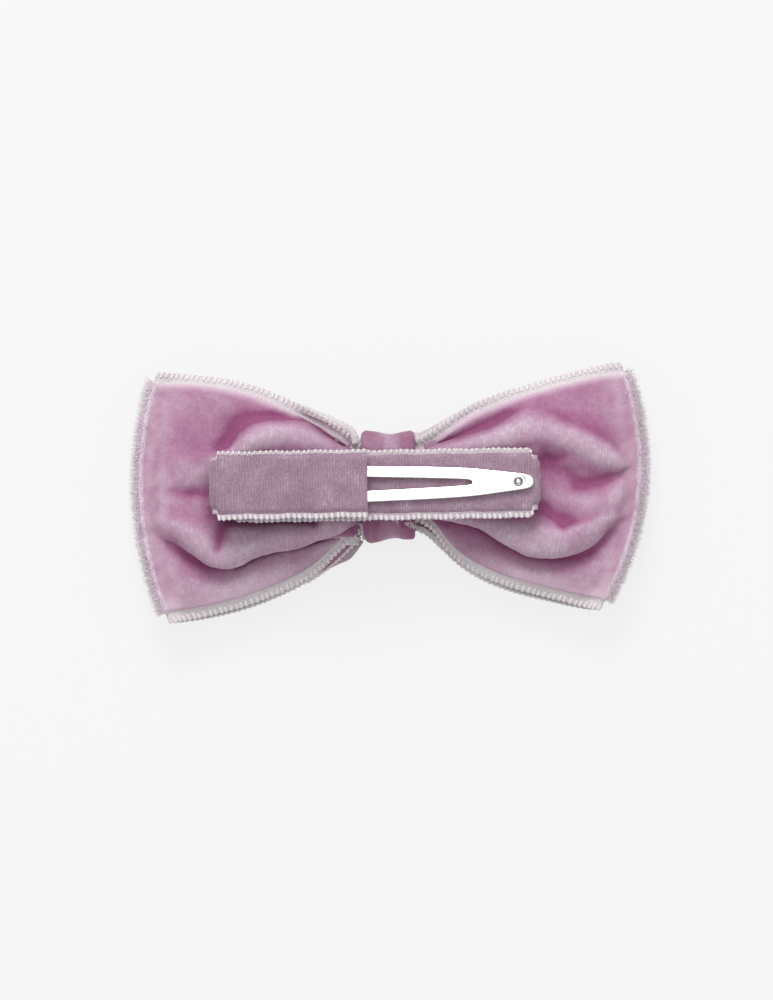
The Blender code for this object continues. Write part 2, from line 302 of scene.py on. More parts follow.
def polished_steel(name, tint, roughness):
    """Bright rolled steel with faint lengthwise scratches and dull spots."""
    material, tree, shader = new_material(name)
    coordinates = node(tree, "ShaderNodeTexCoord").outputs["Object"]
    stretch = node(tree, "ShaderNodeMapping")
    stretch.inputs["Scale"].default_value = (0.06, 1.0, 1.0)
    tree.links.new(coordinates, stretch.inputs["Vector"])
    scratches = noise_node(tree, 9.0, 3.0, 0.7, stretch.outputs[0])
    spots = noise_node(tree, 0.8)
    tone = mix_colour(tree, ramp(tree, spots, 0.35, 0.7), tint, tuple(0.96 * c for c in tint))
    worn = ramp(tree, scratches, 0.3, 0.75, roughness * 0.8, roughness * 1.6)
    tree.links.new(tone, shader.inputs["Base Color"])
    tree.links.new(worn, shader.inputs["Roughness"])
    set_sockets(shader, {"Metallic": 1.0})
    add_bump(tree, shader, scratches, 0.15, 0.01)
    return material


def twisted_thread(name, colour, pale):
    material, tree, shader = new_material(name)
    grain = noise_node(tree, 5.0, 3.0, 0.6)
    tree.links.new(mix_colour(tree, ramp(tree, grain, 0.35, 0.7), colour, pale), shader.inputs["Base Color"])
    set_sockets(shader, {"Roughness": 0.7, "Sheen Weight": 0.4})
    return material


def glue_material():
    material, tree, shader = new_material("set glue")
    tone = mix_colour(tree, noise_node(tree, 0.9), (0.74, 0.72, 0.66), (0.84, 0.82, 0.77))
    tree.links.new(tone, shader.inputs["Base Color"])
    set_sockets(shader, {"Roughness": 0.3, "Subsurface Weight": 0.2, "Subsurface Radius": (MM, MM, MM)})
    return material


BOW_VELVET = velvet("bow velvet", (0.265, 0.075, 0.175), (0.38, 0.19, 0.30), (0.50, 0.385, 0.47))
KNOT_VELVET = velvet("knot velvet", (0.26, 0.085, 0.17), (0.33, 0.19, 0.27), (0.45, 0.34, 0.42))
LINING_VELVET = velvet("lining velvet", (0.225, 0.135, 0.19), (0.31, 0.205, 0.27), (0.40, 0.305, 0.37),
                       sheen=0.25, grain=2.2, glints=2.8, rows=0.9)
SELVAGE = woven("selvage", (0.50, 0.445, 0.47), (0.75, 0.715, 0.73), 0.3, 0.06)
LINING_SELVAGE_WEAVE = woven("lining selvage", (0.42, 0.35, 0.39), (0.66, 0.59, 0.63), 0.3, 0.05)
RIBBON_TAIL = woven("ribbon tail", (0.37, 0.27, 0.33), (0.50, 0.41, 0.45), 0.35, 0.04)
RIBBON_BACK = woven("ribbon back", (0.27, 0.15, 0.22), (0.40, 0.25, 0.34), 0.25, 0.04)
PILE_ENDS = twisted_thread("pile ends", (0.72, 0.60, 0.68), (0.95, 0.88, 0.92))
WEFT_TURNS = twisted_thread("weft turns", (0.60, 0.55, 0.575), (0.79, 0.755, 0.77))
THREAD = twisted_thread("sewing thread", (0.30, 0.20, 0.26), (0.50, 0.42, 0.47))
STEEL = polished_steel("polished spring steel", (0.93, 0.93, 0.92), 0.10)
# Dark steel for the rivet's shank and the peening mark beside it, and for a ring of painted shadow round its
# head.
DARK_STEEL_AND_PAINTED_SHADOW = polished_steel("dark steel and painted shadow", (0.30, 0.29, 0.28), 0.35)
GLUE = glue_material()


# ---------------------------------------------------------------- mesh tools

def smooth_path(points, steps=10):
    """Centripetal Catmull-Rom curve through the points."""
    p = np.asarray(points, float)
    p = np.vstack([2 * p[0] - p[1], p, 2 * p[-1] - p[-2]])
    out = []
    for i in range(1, len(p) - 2):
        knots = [0.0]
        for a, b in zip(p[i - 1:i + 2], p[i:i + 3]):
            knots.append(knots[-1] + max(np.linalg.norm(b - a), 1e-6) ** 0.5)
        t = np.linspace(knots[1], knots[2], steps, endpoint=False)[:, None]
        level = list(p[i - 1:i + 3])
        spans = ((0, 1), (1, 2), (2, 3)), ((0, 2), (1, 3)), ((1, 2),)
        for pairs in spans:
            level = [((knots[b] - t) * level[n] + (t - knots[a]) * level[n + 1]) / (knots[b] - knots[a])
                     for n, (a, b) in enumerate(pairs)]
        out.append(level[0])
    out.append(p[-2][None, :])
    return np.vstack(out)


def lengths(path):
    return np.concatenate([[0.0], np.cumsum(np.linalg.norm(np.diff(path, axis=0), axis=1))])


def even_path(points, step):
    points = np.asarray(points, float)
    run = lengths(points)
    stations = np.linspace(0, run[-1], int(run[-1] / step) + 1)
    return np.stack([np.interp(stations, run, column) for column in points.T], axis=1), stations


def smoothstep(low, high, x):
    t = np.clip((x - low) / (high - low), 0.0, 1.0)
    return t * t * (3 - 2 * t)


def peak(x, middle, width):
    """1 at the middle, falling away smoothly on both sides."""
    return np.exp(-((x - middle) / width) ** 2)


def grid_normals(grid):
    down = np.gradient(grid, axis=0)
    across = np.gradient(grid, axis=1)
    normals = np.cross(down, across)
    return normals / np.maximum(np.linalg.norm(normals, axis=2, keepdims=True), 1e-9)


def blur(grid, reach):
    """Mean over a window of 2 * reach + 1 along both ways of a grid."""
    for axis in (0, 1):
        pads = [(0, 0)] * grid.ndim
        pads[axis] = (reach + 1, reach)
        total = np.cumsum(np.pad(grid, pads, mode="edge"), axis=axis)
        count = 2 * reach + 1
        high = np.take(total, range(count, total.shape[axis]), axis=axis)
        low = np.take(total, range(0, total.shape[axis] - count), axis=axis)
        grid = (high - low) / count
    return grid


def crest_of(grid, normals, reaches=((4, 0.16), (9, 0.5))):
    """Above 0 on ridges and below 0 in valleys, from -1 to 1."""
    total = 0.0
    for reach, height in reaches:
        total = total + np.sum((grid - blur(grid, reach)) * normals, axis=2) / height
    return np.clip(total / len(reaches), -1.0, 1.0)


def field(grid, size, seed=0.0):
    """Smooth noise over a grid of points, about -0.5 to 0.5."""
    flat = grid.reshape(-1, 3) / size + seed
    return np.array([noise.noise(Vector(p)) for p in flat]).reshape(grid.shape[:2])


def grid_object(name, grid, along, across, layers, materials, column_material, thickness, selvage,
                closed=False):
    """Ribbon from a grid of points, with a cloth UV map, bake UVs and its layers as vertex attributes.

    materials are the pile's, the selvage's and the back's, and column_material numbers them across."""
    rows, columns = grid.shape[:2]
    mesh = bpy.data.meshes.new(name)
    ring = rows if closed else rows - 1
    i, j = np.meshgrid(np.arange(ring), np.arange(columns - 1), indexing="ij")
    k = (i + 1) % rows
    here, next_row = i * columns + j, k * columns + j
    faces = np.stack([here, next_row, next_row + 1, here + 1], axis=-1).reshape(-1, 4)
    mesh.from_pydata((grid.reshape(-1, 3) * MM).tolist(), [], faces.tolist())
    cloth = mesh.uv_layers.new(name="cloth")
    bake = mesh.uv_layers.new(name="OFBake")
    loops = np.empty(len(mesh.loops), int)
    mesh.loops.foreach_get("vertex_index", loops)
    u = np.repeat(along, columns)[loops] / UV_MM
    v = np.broadcast_to(across, (rows, columns)).reshape(-1)[loops] / UV_MM
    cloth.data.foreach_set("uv", np.stack([u, v], axis=1).reshape(-1))
    u, v = (loops // columns) / rows, (loops % columns) / columns
    bake.data.foreach_set("uv", np.stack([u, v], axis=1).reshape(-1))
    for layer, values in layers.items():
        stored = mesh.attributes.new(layer, "FLOAT", "POINT")
        stored.data.foreach_set("value", values.astype(float).reshape(-1))
    for material in materials + materials[1:2]:
        mesh.materials.append(material)
    per_face = np.broadcast_to(column_material, (ring, columns - 1)).reshape(-1)
    mesh.polygons.foreach_set("material_index", per_face.astype(int))
    mesh.shade_smooth()
    mesh.update()
    made = bpy.data.objects.new(name, mesh)
    bpy.context.scene.collection.objects.link(made)
    solidify = made.modifiers.new("thickness", "SOLIDIFY")
    solidify.thickness = thickness * MM
    solidify.offset = -1.0
    solidify.material_offset = 2
    solidify.material_offset_rim = 0
    if "edge" in layers:
        bare = layers["edge"].reshape(-1) < selvage - 0.1
        group = made.vertex_groups.new(name="pile")
        group.add(np.flatnonzero(bare).tolist(), SELVAGE_THIN, "REPLACE")
        group.add(np.flatnonzero(~bare).tolist(), 1.0, "REPLACE")
        solidify.vertex_group = "pile"
    return made


def soup_object(name, vertices, faces, material):
    mesh = bpy.data.meshes.new(name)
    mesh.from_pydata((np.asarray(vertices) * MM).tolist(), [], faces)
    mesh.materials.append(material)
    mesh.shade_smooth()
    made = bpy.data.objects.new(name, mesh)
    bpy.context.scene.collection.objects.link(made)
    return made


def hairs(name, roots, directions, material, length, radius, spread, seed):
    """Tapered three-sided hairs, each a closed solid."""
    draw = random.Random(seed)
    vertices, faces = [], []
    for root, direction in zip(roots, directions):
        d = Vector(direction) + Vector([draw.gauss(0, spread) for _ in range(3)])
        d.normalize()
        side = d.orthogonal().normalized()
        other = d.cross(side)
        tall = length * draw.uniform(0.6, 1.15)
        base = len(vertices)
        for n in range(3):
            angle = 2 * math.pi * n / 3
            around = (side * math.cos(angle) + other * math.sin(angle)) * radius
            vertices.append(Vector(root) - d * 0.2 + around)
        vertices.append(Vector(root) + d * tall)
        faces += [(base, base + 1, base + 3), (base + 1, base + 2, base + 3), (base + 2, base, base + 3)]
        faces.append((base, base + 2, base + 1))
    return soup_object(name, vertices, faces, material)


def capsules(name, starts, ends, ups, material, width, height):
    """Small rounded bars from start to end, such as turns of thread."""
    sides, rings = 8, 6
    vertices, faces = [], []
    for start, end, up in zip(starts, ends, ups):
        start, end, up = Vector(start), Vector(end), Vector(up).normalized()
        axis = end - start
        side = up.cross(axis).normalized()
        base = len(vertices)
        vertices.append(start)
        for r in range(1, rings):
            t = r / rings
            swell = math.sin(math.pi * t) ** 0.5
            for s in range(sides):
                angle = 2 * math.pi * s / sides
                around = side * math.cos(angle) * width / 2 + up * math.sin(angle) * height / 2
                vertices.append(start + axis * (0.5 - 0.5 * math.cos(math.pi * t)) + around * swell)
        vertices.append(end)
        last = len(vertices) - 1
        for s in range(sides):
            n = (s + 1) % sides
            faces.append((base, base + 1 + n, base + 1 + s))
            for r in range(rings - 2):
                low = base + 1 + r * sides
                faces.append((low + s, low + n, low + sides + n, low + sides + s))
            faces.append((last, last - sides + s, last - sides + n))
    return soup_object(name, vertices, faces, material)


# ---------------------------------------------------------------- the bow's loops

FUZZ = 0.6                      # pile ends beyond the ribbon's outer fold
FOLD_RADIUS = 1.75              # half the depth of the outer fold
FOLD_REACH = 0.75               # how far it turns beyond the crease
LOOP_MIDDLE = sum(c[2] for c in cad_box("bow_loop_left")) / 2
PILE_HEIGHT = 0.45
RIBBON_BODY = 0.5               # woven ground under the pile

# The outer fold's lean, its bulge, its middle along Y and its half length
FOLD = {
    "left": {"lean": math.radians(3.1), "bulge": 3.3, "shift": -0.8, "half": 18.3},
    "right": {"lean": math.radians(5.0), "bulge": 4.4, "shift": 1.0, "half": 18.3},
}

# Back panel of each loop as lines that run out from the waist, from the lower selvage to the upper one.
# Each point is (distance from the bow's middle, y, height above the floor).
LEFT_RIBS = [
    [(4.6, -5.9, 6.2), (7, -8.1, 6.0), (9, -10.0, 5.8), (11, -11.8, 5.6), (13, -13.1, 5.5),
     (17.5, -15.2, 5.6), (22, -16.8, 5.8), (27, -18.1, 6.1), (33.4, -19.3, 6.5)],
    [(4.6, -4.5, 6.1), (8, -6.8, 6.2), (13, -10.2, 6.4), (17.5, -12, 6.7), (22, -13.6, 7.0),
     (27, -14.2, 7.5), (32, -13.5, 7.7), (35.9, -13.0, 7.2)],
    [(4.6, -3.96, 6.3), (7.3, -4.96, 6.2), (11.2, -6, 6.0), (13.5, -6.8, 6.0), (17.8, -7.4, 6.0),
     (20.5, -8.3, 6.1), (22.4, -9.4, 6.4), (24.4, -9.8, 6.9), (26.9, -9.6, 7.3), (28.9, -9, 7.6),
     (31.7, -7.6, 7.9), (34, -7, 7.9), (37, -7.7, 7.3)],
    [(4.6, -3.6, 7.4), (7.3, -5.3, 7.9), (11.2, -6.75, 8.6), (13.5, -7.65, 9.0), (17.8, -8.35, 9.5),
     (20.5, -9.25, 9.8), (22.4, -10.35, 10.0), (24.4, -10.65, 10.2), (26.9, -9.95, 10.2),
     (28.9, -8.65, 9.8), (31.7, -6.65, 9.2), (34, -5.85, 8.5), (37.2, -6.25, 7.4)],
    [(4.6, -3.16, 8.0), (9, -4.3, 8.8), (14, -5.8, 9.6), (18, -6.7, 10.3), (22, -8, 10.9),
     (25, -8.6, 11.2), (27.5, -7.6, 11.2), (30, -6, 10.8), (32.5, -4.6, 9.9), (35.5, -4.2, 8.5),
     (37.4, -4.4, 7.5)],
    [(4.6, -1.5, 8.2), (10, -2, 8.6), (16, -2.4, 8.2), (22, -2.8, 7.9), (26, -3.2, 8.4), (29, -3, 9.6),
     (32.5, -3.2, 9.6), (35.5, -3, 8.5), (37.6, -3, 7.5)],
    [(4.6, 1, 8.6), (10, 1, 10.0), (16, 0.8, 10.2), (22, 0.5, 9.6), (26.5, 0.1, 8.6), (29, 0.1, 9.0),
     (32.3, 0.15, 9.3), (35, 0, 8.4), (37.6, 0, 7.5)],
    [(4.6, 3.6, 8.4), (10, 4.6, 10.0), (16, 5.2, 10.4), (21, 4.8, 10.2), (25, 3.9, 9.2), (29, 2.8, 9.6),
     (33.5, 2.5, 8.9), (37.5, 2.5, 7.5)],
    [(4.6, 5.4, 8.0), (8, 6.4, 9.2), (12, 8.3, 10.5), (16, 8.9, 11.2), (19.5, 8.2, 11.4),
     (22.5, 6.4, 10.6), (26, 5.1, 9.4), (30, 4.6, 9.4), (34, 4.2, 8.6), (37.3, 4.2, 7.5)],
    [(4.6, 6.0, 7.4), (7.1, 7.0, 6.6), (9.9, 8.8, 6.3), (12.8, 10.8, 6.3), (15.2, 11.1, 6.6),
     (19.2, 11, 7.2), (21.8, 9.9, 7.6), (23.6, 7.6, 8.0), (25.5, 6.9, 8.5), (29, 7.5, 8.8), (33, 8, 8.4),
     (37, 8, 7.4)],
    [(4.6, 6.6, 7.6), (8, 8.9, 7.0), (12.8, 12.1, 6.5), (19, 13.2, 7.1), (24, 13.6, 7.6), (30, 13.5, 8.0),
     (36.3, 13, 7.3)],
    [(4.6, 7.3, 8.0), (6.8, 9.5, 7.6), (9.4, 11.1, 7.2), (14.5, 13.8, 6.6), (19.6, 15.9, 6.4),
     (24.7, 17.1, 6.4), (29.8, 17.7, 6.6), (35.3, 18.1, 6.8)],
]
RIGHT_RIBS = [
    [(4.4, -4.2, 6.0), (6.2, -5.4, 5.8), (8.5, -8.4, 5.6), (10, -9.9, 5.5), (12, -11.3, 5.5),
     (15, -12.8, 5.6), (19, -14.2, 5.7), (24, -15.5, 5.9), (29, -16.8, 6.2), (31.8, -17.3, 6.5)],
    [(4.4, -4.0, 6.1), (8, -6.0, 6.0), (11, -8.2, 6.2), (15, -10.2, 6.5), (19, -11.8, 6.8),
     (24, -12.6, 7.2), (29, -12.4, 7.5), (35.3, -11, 7.1)],
    [(4.4, -3.56, 6.2), (8.5, -3.5, 6.0), (12.9, -4.2, 6.0), (15.7, -5.5, 6.0), (18.5, -7.2, 6.1),
     (20, -7.9, 6.3), (22.8, -8.4, 6.7), (24.5, -8.6, 6.9), (27.3, -8.5, 7.3), (30.1, -7.6, 7.6),
     (32.3, -6, 7.7), (34.2, -5.4, 7.5), (36.7, -5.8, 7.2)],
    [(4.4, -3.2, 7.2), (8.5, -3.55, 8.0), (12.9, -4.65, 9.0), (15.7, -6.25, 9.6), (18.5, -7.95, 9.9),
     (20, -8.65, 10.0), (22.8, -9, 10.1), (24.5, -9.05, 10.1), (27.3, -8.45, 9.9), (30.1, -6.95, 9.4),
     (32.3, -4.65, 8.8), (34.2, -3.85, 8.0), (36.9, -4.45, 7.3)],
    [(4.4, -2.86, 7.8), (9, -3.3, 8.6), (13, -4, 9.6), (17, -5.2, 10.6), (20.5, -6, 11.1),
     (24, -6.4, 11.3), (27.3, -5.8, 11.1), (30, -4.6, 10.5), (33.4, -3.2, 9.2), (37.1, -3.4, 7.4)],
    [(4.4, -1.2, 8.4), (10, -1.6, 9.4), (16, -2, 9.4), (21, -2.6, 9.6), (24.5, -3.5, 9.8),
     (25.8, -4, 9.7), (28.5, -4.0, 10.3), (31.5, -3.2, 10.0), (34.6, -2.6, 8.6), (37.3, -2.5, 7.4)],
    [(4.4, 1, 8.6), (10, 1, 9.8), (16, 1, 9.8), (21, 0.8, 9.4), (24, 0, 9.4), (27.5, -1.2, 9.9),
     (30, -1.5, 10.1), (33, -0.8, 9.5), (35.3, -0.2, 8.5), (37.5, 0, 7.5)],
    [(4.4, 3.8, 8.4), (10, 4.5, 9.8), (16, 5.0, 10.2), (21, 5.0, 9.8), (23, 4.6, 9.0), (26, 3.2, 9.0),
     (28.5, 1.7, 8.9), (30.8, 1.9, 8.7), (33.4, 2.9, 8.1), (34.8, 3.6, 7.8), (37.6, 2.8, 7.4)],
    [(4.4, 5.6, 7.8), (8, 6.6, 9.2), (12, 7.4, 10.1), (16, 8.4, 10.9), (20.7, 9.4, 11.3),
     (25.2, 8.6, 11.2), (29, 7.1, 10.9), (32, 5.5, 10.3), (34, 4.4, 9.2), (37.5, 4.4, 7.4)],
    [(4.4, 6.2, 7.2), (7.4, 7.4, 6.4), (11.5, 8.7, 6.5), (15, 10.0, 7.0), (17.8, 11.4, 7.5),
     (20.5, 12.8, 8.0), (22.5, 12.5, 8.5), (25.2, 11.4, 8.9), (28.5, 10.0, 9.0), (31.8, 8.3, 8.7),
     (34.2, 6.6, 8.1), (37.3, 6.3, 7.3)],
    [(4.4, 6.9, 7.5), (8, 9.0, 7.0), (12, 10.9, 6.6), (16, 12.6, 6.8), (20, 14.2, 7.2), (24, 14.7, 7.6),
     (28, 14.3, 7.8), (32, 13.8, 7.8), (36.4, 14, 7.2)],
    [(4.4, 8.2, 8.0), (6, 9.2, 7.6), (8, 10.6, 7.2), (10, 12.0, 7.0), (12, 13.2, 6.8), (16, 14.9, 6.6),
     (20, 16.1, 6.5), (26.3, 17.9, 6.5), (31.4, 19.1, 6.6), (34.6, 19.6, 6.8)],
]
RIBS = {"left": LEFT_RIBS, "right": RIGHT_RIBS}
WAIST = {"left": 4.1, "right": 3.5}
# How far the front panel shows below the back one, along the loop and at the gathers by the knot
PEEK = {"left": {"along": 0.45, "gathers": 0.3}, "right": {"along": 0.55, "gathers": 0.2}}
PEEK_ABOVE = 0.8
SIGN = {"left": -1, "right": 1}
FRONT_LOWER = 0.9               # how much nearer the floor than the back's mirror image the front panel lies
FLOOR_GAP = 0.15

PANEL_ROWS = 100
FOLD_ROWS = 14
EDGE_COLUMNS = 10
EDGE_ZONE = 2.0
MIDDLE_COLUMNS = 104


def fold_line(side, y):
    """Distance from the bow's middle of the outermost woven ground at y."""
    f = FOLD[side]
    low, high = cad_box(f"bow_loop_{side}")
    reach = max(-low[0], high[0]) - FUZZ - PILE_HEIGHT
    t = (y - f["shift"]) / f["half"]
    return reach - f["bulge"] + (y - f["shift"]) * math.tan(f["lean"]) + f["bulge"] * (1 - t ** 2)


def fold_start(side, y):
    return fold_line(side, y) - FOLD_REACH


def panel(side, shares):
    """Grid of a loop's back panel: a row for each share of the way from the waist to the outer fold."""
    lines = []
    for rib in RIBS[side]:
        path = smooth_path(rib)
        start = fold_start(side, path[:, 1])
        share = (path[:, 0] - WAIST[side]) / (start - WAIST[side])
        share = np.maximum.accumulate(share)
        lines.append([np.interp(shares, share, path[:, k]) for k in (1, 2)])
    rows = []
    for n, share in enumerate(shares):
        section = np.array([(line[0][n], line[1][n]) for line in lines])
        dense = smooth_path(section, 24)
        run = lengths(dense)
        total = run[-1]
        edge = np.linspace(0, EDGE_ZONE, EDGE_COLUMNS, endpoint=False)
        middle = np.linspace(EDGE_ZONE, total - EDGE_ZONE, MIDDLE_COLUMNS)
        stations = np.concatenate([edge, middle, total - edge[::-1]])
        y = np.interp(stations, run, dense[:, 0])
        z = np.interp(stations, run, dense[:, 1])
        x = WAIST[side] + (fold_start(side, y) - WAIST[side]) * share
        rows.append(np.stack([SIGN[side] * x, y, z], axis=1))
    return np.array(rows)


def edge_distances(grid):
    """Distance of each column from the nearer selvage, and from the lower one, along each row."""
    steps = np.linalg.norm(np.diff(grid, axis=1), axis=2)
    run = np.concatenate([np.zeros((len(grid), 1)), np.cumsum(steps, axis=1)], axis=1)
    return np.minimum(run, run[:, -1:] - run), run


def front_from(side, back, shares):
    """Front panel: the other loop's folds in mirror image, cut to this loop's outline."""
    other = "right" if side == "left" else "left"
    shape = panel(other, shares)
    low, high = back[:, :1, 1], back[:, -1:, 1]
    along, gathers = PEEK[side]["along"], PEEK[side]["gathers"]
    peek = along * np.sin(math.pi * np.clip(shares, 0, 1)) ** 0.6
    near = 1 - smoothstep(0.0, 0.26, shares)
    low = low - (peek + gathers * near)[:, None]
    high = high - (0.5 * peek - PEEK_ABOVE * near)[:, None]
    y = shape[:, :, 1]
    share = (y - y[:, :1]) / (y[:, -1:] - y[:, :1])
    y = low + share * (high - low)
    x = WAIST[side] + (fold_start(side, y) - WAIST[side]) * shares[:, None]
    z = 2 * LOOP_MIDDLE - shape[:, :, 2] - FRONT_LOWER
    z = np.maximum(z, PILE_HEIGHT + FLOOR_GAP + 0.1 * np.abs(z))
    return np.stack([SIGN[side] * x, y, z], axis=2)


def loop_grid(side):
    shares = np.linspace(0, 1, PANEL_ROWS)
    back = panel(side, shares)
    front = front_from(side, back, shares)
    settle = smoothstep(0.9, 1.0, shares)[:, None]
    back[:, :, 2] += settle * (LOOP_MIDDLE + FOLD_RADIUS - back[:, :, 2])
    front[:, :, 2] += settle * (LOOP_MIDDLE - FOLD_RADIUS - front[:, :, 2])
    front[:, :, 1] += settle * (back[-1, :, 1] - front[:, :, 1])
    front[-1, :, 0] = back[-1, :, 0]
    edge = edge_distances(back)[0][-1]
    inset = 1.0 - 0.55 * (1 - smoothstep(0.6, 2.4, edge))
    turn = []
    for k in range(1, FOLD_ROWS):
        angle = math.pi / 2 - math.pi * k / FOLD_ROWS
        row = back[-1].copy()
        row[:, 0] += SIGN[side] * FOLD_REACH * math.cos(angle) * inset
        row[:, 2] = LOOP_MIDDLE + FOLD_RADIUS * math.sin(angle)
        turn.append(row)
    return np.concatenate([back, np.array(turn), front[::-1]])


VALLEY_PAINTED_SHADE = 1.25              # how much deeper than its shape says a valley's painted shade is
# how much of its shape's painted highlight a ridge keeps
RIDGE_PAINTED_HIGHLIGHT = 0.75
CREASE_AT = 0.1                 # the outer fold's crease, with its painted highlight, beyond the panel's end
UPPER_THIN_REACH = 1.5          # how far in from the selvage the pile is thin
# Along the lower selvage the pale band reaches further: thin pile near it and painted light beyond.
LOWER_THIN_AND_PAINTED_LIGHT_REACH = 4.0


def loop_layers(grid, normals, edge):
    """What the velvet shows at each point: its crest, which paints shade and highlights, its outer fold with
    its painted light and crease highlight, its thin pile with painted light along the lower selvage, and its
    selvage.
    """
    # The crest paints shade into valleys and highlights onto ridges; valleys are made deeper and ridges
    # softer than the shape says.
    crest = crest_of(grid, normals)
    crest = np.where(crest < 0, VALLEY_PAINTED_SHADE * crest, RIDGE_PAINTED_HIGHLIGHT * crest)
    steps = np.linalg.norm(np.diff(grid, axis=0), axis=2).mean(axis=1)
    from_fold = np.concatenate([[0.0], np.cumsum(steps)])
    from_fold = (from_fold - from_fold[PANEL_ROWS - 1])[:, None]
    from_fold = np.minimum(from_fold, from_fold[PANEL_ROWS + FOLD_ROWS - 1] - from_fold)
    plain = smoothstep(-3.2, -1.2, from_fold)
    # Painted light on the outer fold: a painted highlight along its crease and the strip beyond it lifted
    # paler where it turns away from the light. It is also a little paler for a few millimetres inwards.
    fold = peak(from_fold, CREASE_AT, 0.2) + 0.85 * smoothstep(CREASE_AT, 0.8, from_fold)
    fold = fold + 0.3 * smoothstep(-5.5, -1.0, from_fold) * (from_fold < CREASE_AT)
    fold = np.clip(fold, 0, 1) * (0.7 + 0.6 * field(grid, 1.5, 4.0))
    # Near the fold the crest's painted shade gives way to the painted crease highlight and a paler strip
    # beyond it.
    painted_crease_highlight = 1.5 * peak(from_fold, CREASE_AT, 0.22)
    crest = crest * (1 - plain) + plain * (0.05 + painted_crease_highlight + 0.4 * smoothstep(0.2, 0.9, from_fold))
    # Thin pile along the upper selvage. Along the lower one painted light lifts a wide band paler, most far
    # from the knot, where it faces away from the light.
    far_out = smoothstep(12.0, 20.0, np.abs(grid[:, :, 0]))
    upper = 1 - smoothstep(0.0, UPPER_THIN_REACH, edge - SELVAGE_WIDTH)
    lower = 1 - smoothstep(0.0, LOWER_THIN_AND_PAINTED_LIGHT_REACH, edge - SELVAGE_WIDTH)
    thin = np.where(grid[:, :, 1] > 0, 0.75 * upper, (0.1 + 0.45 * far_out) * lower)
    return {"crest": crest, "edge": edge, "fold": fold, "thin": thin}


def make_loop(side):
    grid = loop_grid(side)
    press_creases(side, grid)
    normals = grid_normals(grid)
    if normals[40, 60, 2] < 0:
        normals = -normals
    edge, across = edge_distances(grid)
    along = lengths(grid[:, grid.shape[1] // 2])
    pile = smoothstep(SELVAGE_WIDTH - 0.1, SELVAGE_WIDTH + 0.5, edge)
    uneven = 0.10 * field(grid, 1.1) + 0.16 * field(grid, 3.5, 7.0)
    spread = blur(normals, 3)
    spread /= np.linalg.norm(spread, axis=2, keepdims=True)
    surface = grid + spread * (PILE_HEIGHT * pile + uneven * pile)[:, :, None]
    middle = (edge[:, :-1] + edge[:, 1:]) / 2
    is_selvage = (middle[PANEL_ROWS // 2] < SELVAGE_WIDTH).astype(int)
    order = slice(None) if side == "right" else slice(None, None, -1)
    layers = {key: values[order] for key, values in loop_layers(grid, normals, edge).items()}
    weaves = [BOW_VELVET, SELVAGE, RIBBON_BACK]
    made = grid_object(f"{side}_loop_ribbon", surface[order], along[order], across[order], layers,
                       weaves, is_selvage, RIBBON_BODY + PILE_HEIGHT, SELVAGE_WIDTH)
    return made, grid, normals, edge


# Creases pressed into the back panels: line, half width and depth
CREASES = {
    "left": [
        ([(-24.3, -3.8), (-25.0, -6.0), (-25.4, -8.1)], 1.1, 0.65),
        ([(-32.0, 0.2), (-29.5, 0.1), (-26.6, 0.2)], 0.8, 0.2),
        ([(-13.0, 10.9), (-10.8, 9.9), (-8.6, 8.5), (-6.2, 6.7)], 0.9, 0.9),
        ([(-20.5, 14.0), (-23.0, 11.0), (-24.0, 7.0)], 2.0, 0.35),
        ([(-23.5, -4.3), (-18.0, -4.1), (-11.5, -3.9)], 1.0, 1.3),
        ([(-5.6, -5.1), (-7.3, -5.9), (-12.0, -7.0), (-17.8, -8.2), (-22.6, -10.3)], 0.8, 0.8),
    ],
    "right": [
        ([(22.8, -2.1), (24.2, -3.5), (25.6, -4.9)], 1.3, 0.45),
        ([(6.4, 6.9), (8.5, 7.8), (13.0, 9.5), (17.0, 11.4)], 1.2, 0.3),
        ([(34.5, 4.2), (33.7, 3.0), (31.0, 1.9), (27.6, 0.9)], 1.3, 0.28),
        ([(21.8, 4.2), (23.4, 5.3), (25.6, 5.9)], 1.0, 0.3),
    ],
}


def press_creases(side, grid):
    """Push the back panel in along its creases."""
    back = grid[:PANEL_ROWS]
    for points, width, depth in CREASES[side]:
        line = smooth_path([(x, y, 0.0) for x, y in points], 10)[:, :2]
        away = np.min(np.linalg.norm(back[:, :, None, :2] - line[None, None], axis=3), axis=2)
        back[:, :, 2] -= depth * peak(away, 0.0, width)


HAIRS_PER_CELL = 2
FOLD_HAIR = (1.1, 0.055, 0.42)  # length, radius and spread of its direction
FRAY_HAIR = (0.9, 0.10, 0.35)


def loop_pile_ends(side, grid, normals, edge):
    """Pile that stands out round the outer fold."""
    draw = random.Random(11 if side == "left" else 12)
    roots, directions = [], []
    for i in range(PANEL_ROWS - 1, PANEL_ROWS + FOLD_ROWS - 1):
        for j in range(EDGE_COLUMNS - 3, grid.shape[1] - EDGE_COLUMNS + 3):
            for _ in range(HAIRS_PER_CELL):
                down, across = draw.random(), draw.random()
                if edge[i, j] < SELVAGE_WIDTH + 0.2:
                    continue
                p = grid[i, j]
                point = p + (grid[i + 1, j] - p) * down + (grid[i, j + 1] - p) * across
                roots.append(point + normals[i, j] * (PILE_HEIGHT - 0.05))
                directions.append(normals[i, j])
    return hairs(f"{side}_fold_pile", roots, directions, PILE_ENDS, *FOLD_HAIR, 21)


def point_at(s, run, values):
    return np.array([np.interp(s, run, column) for column in values.T])


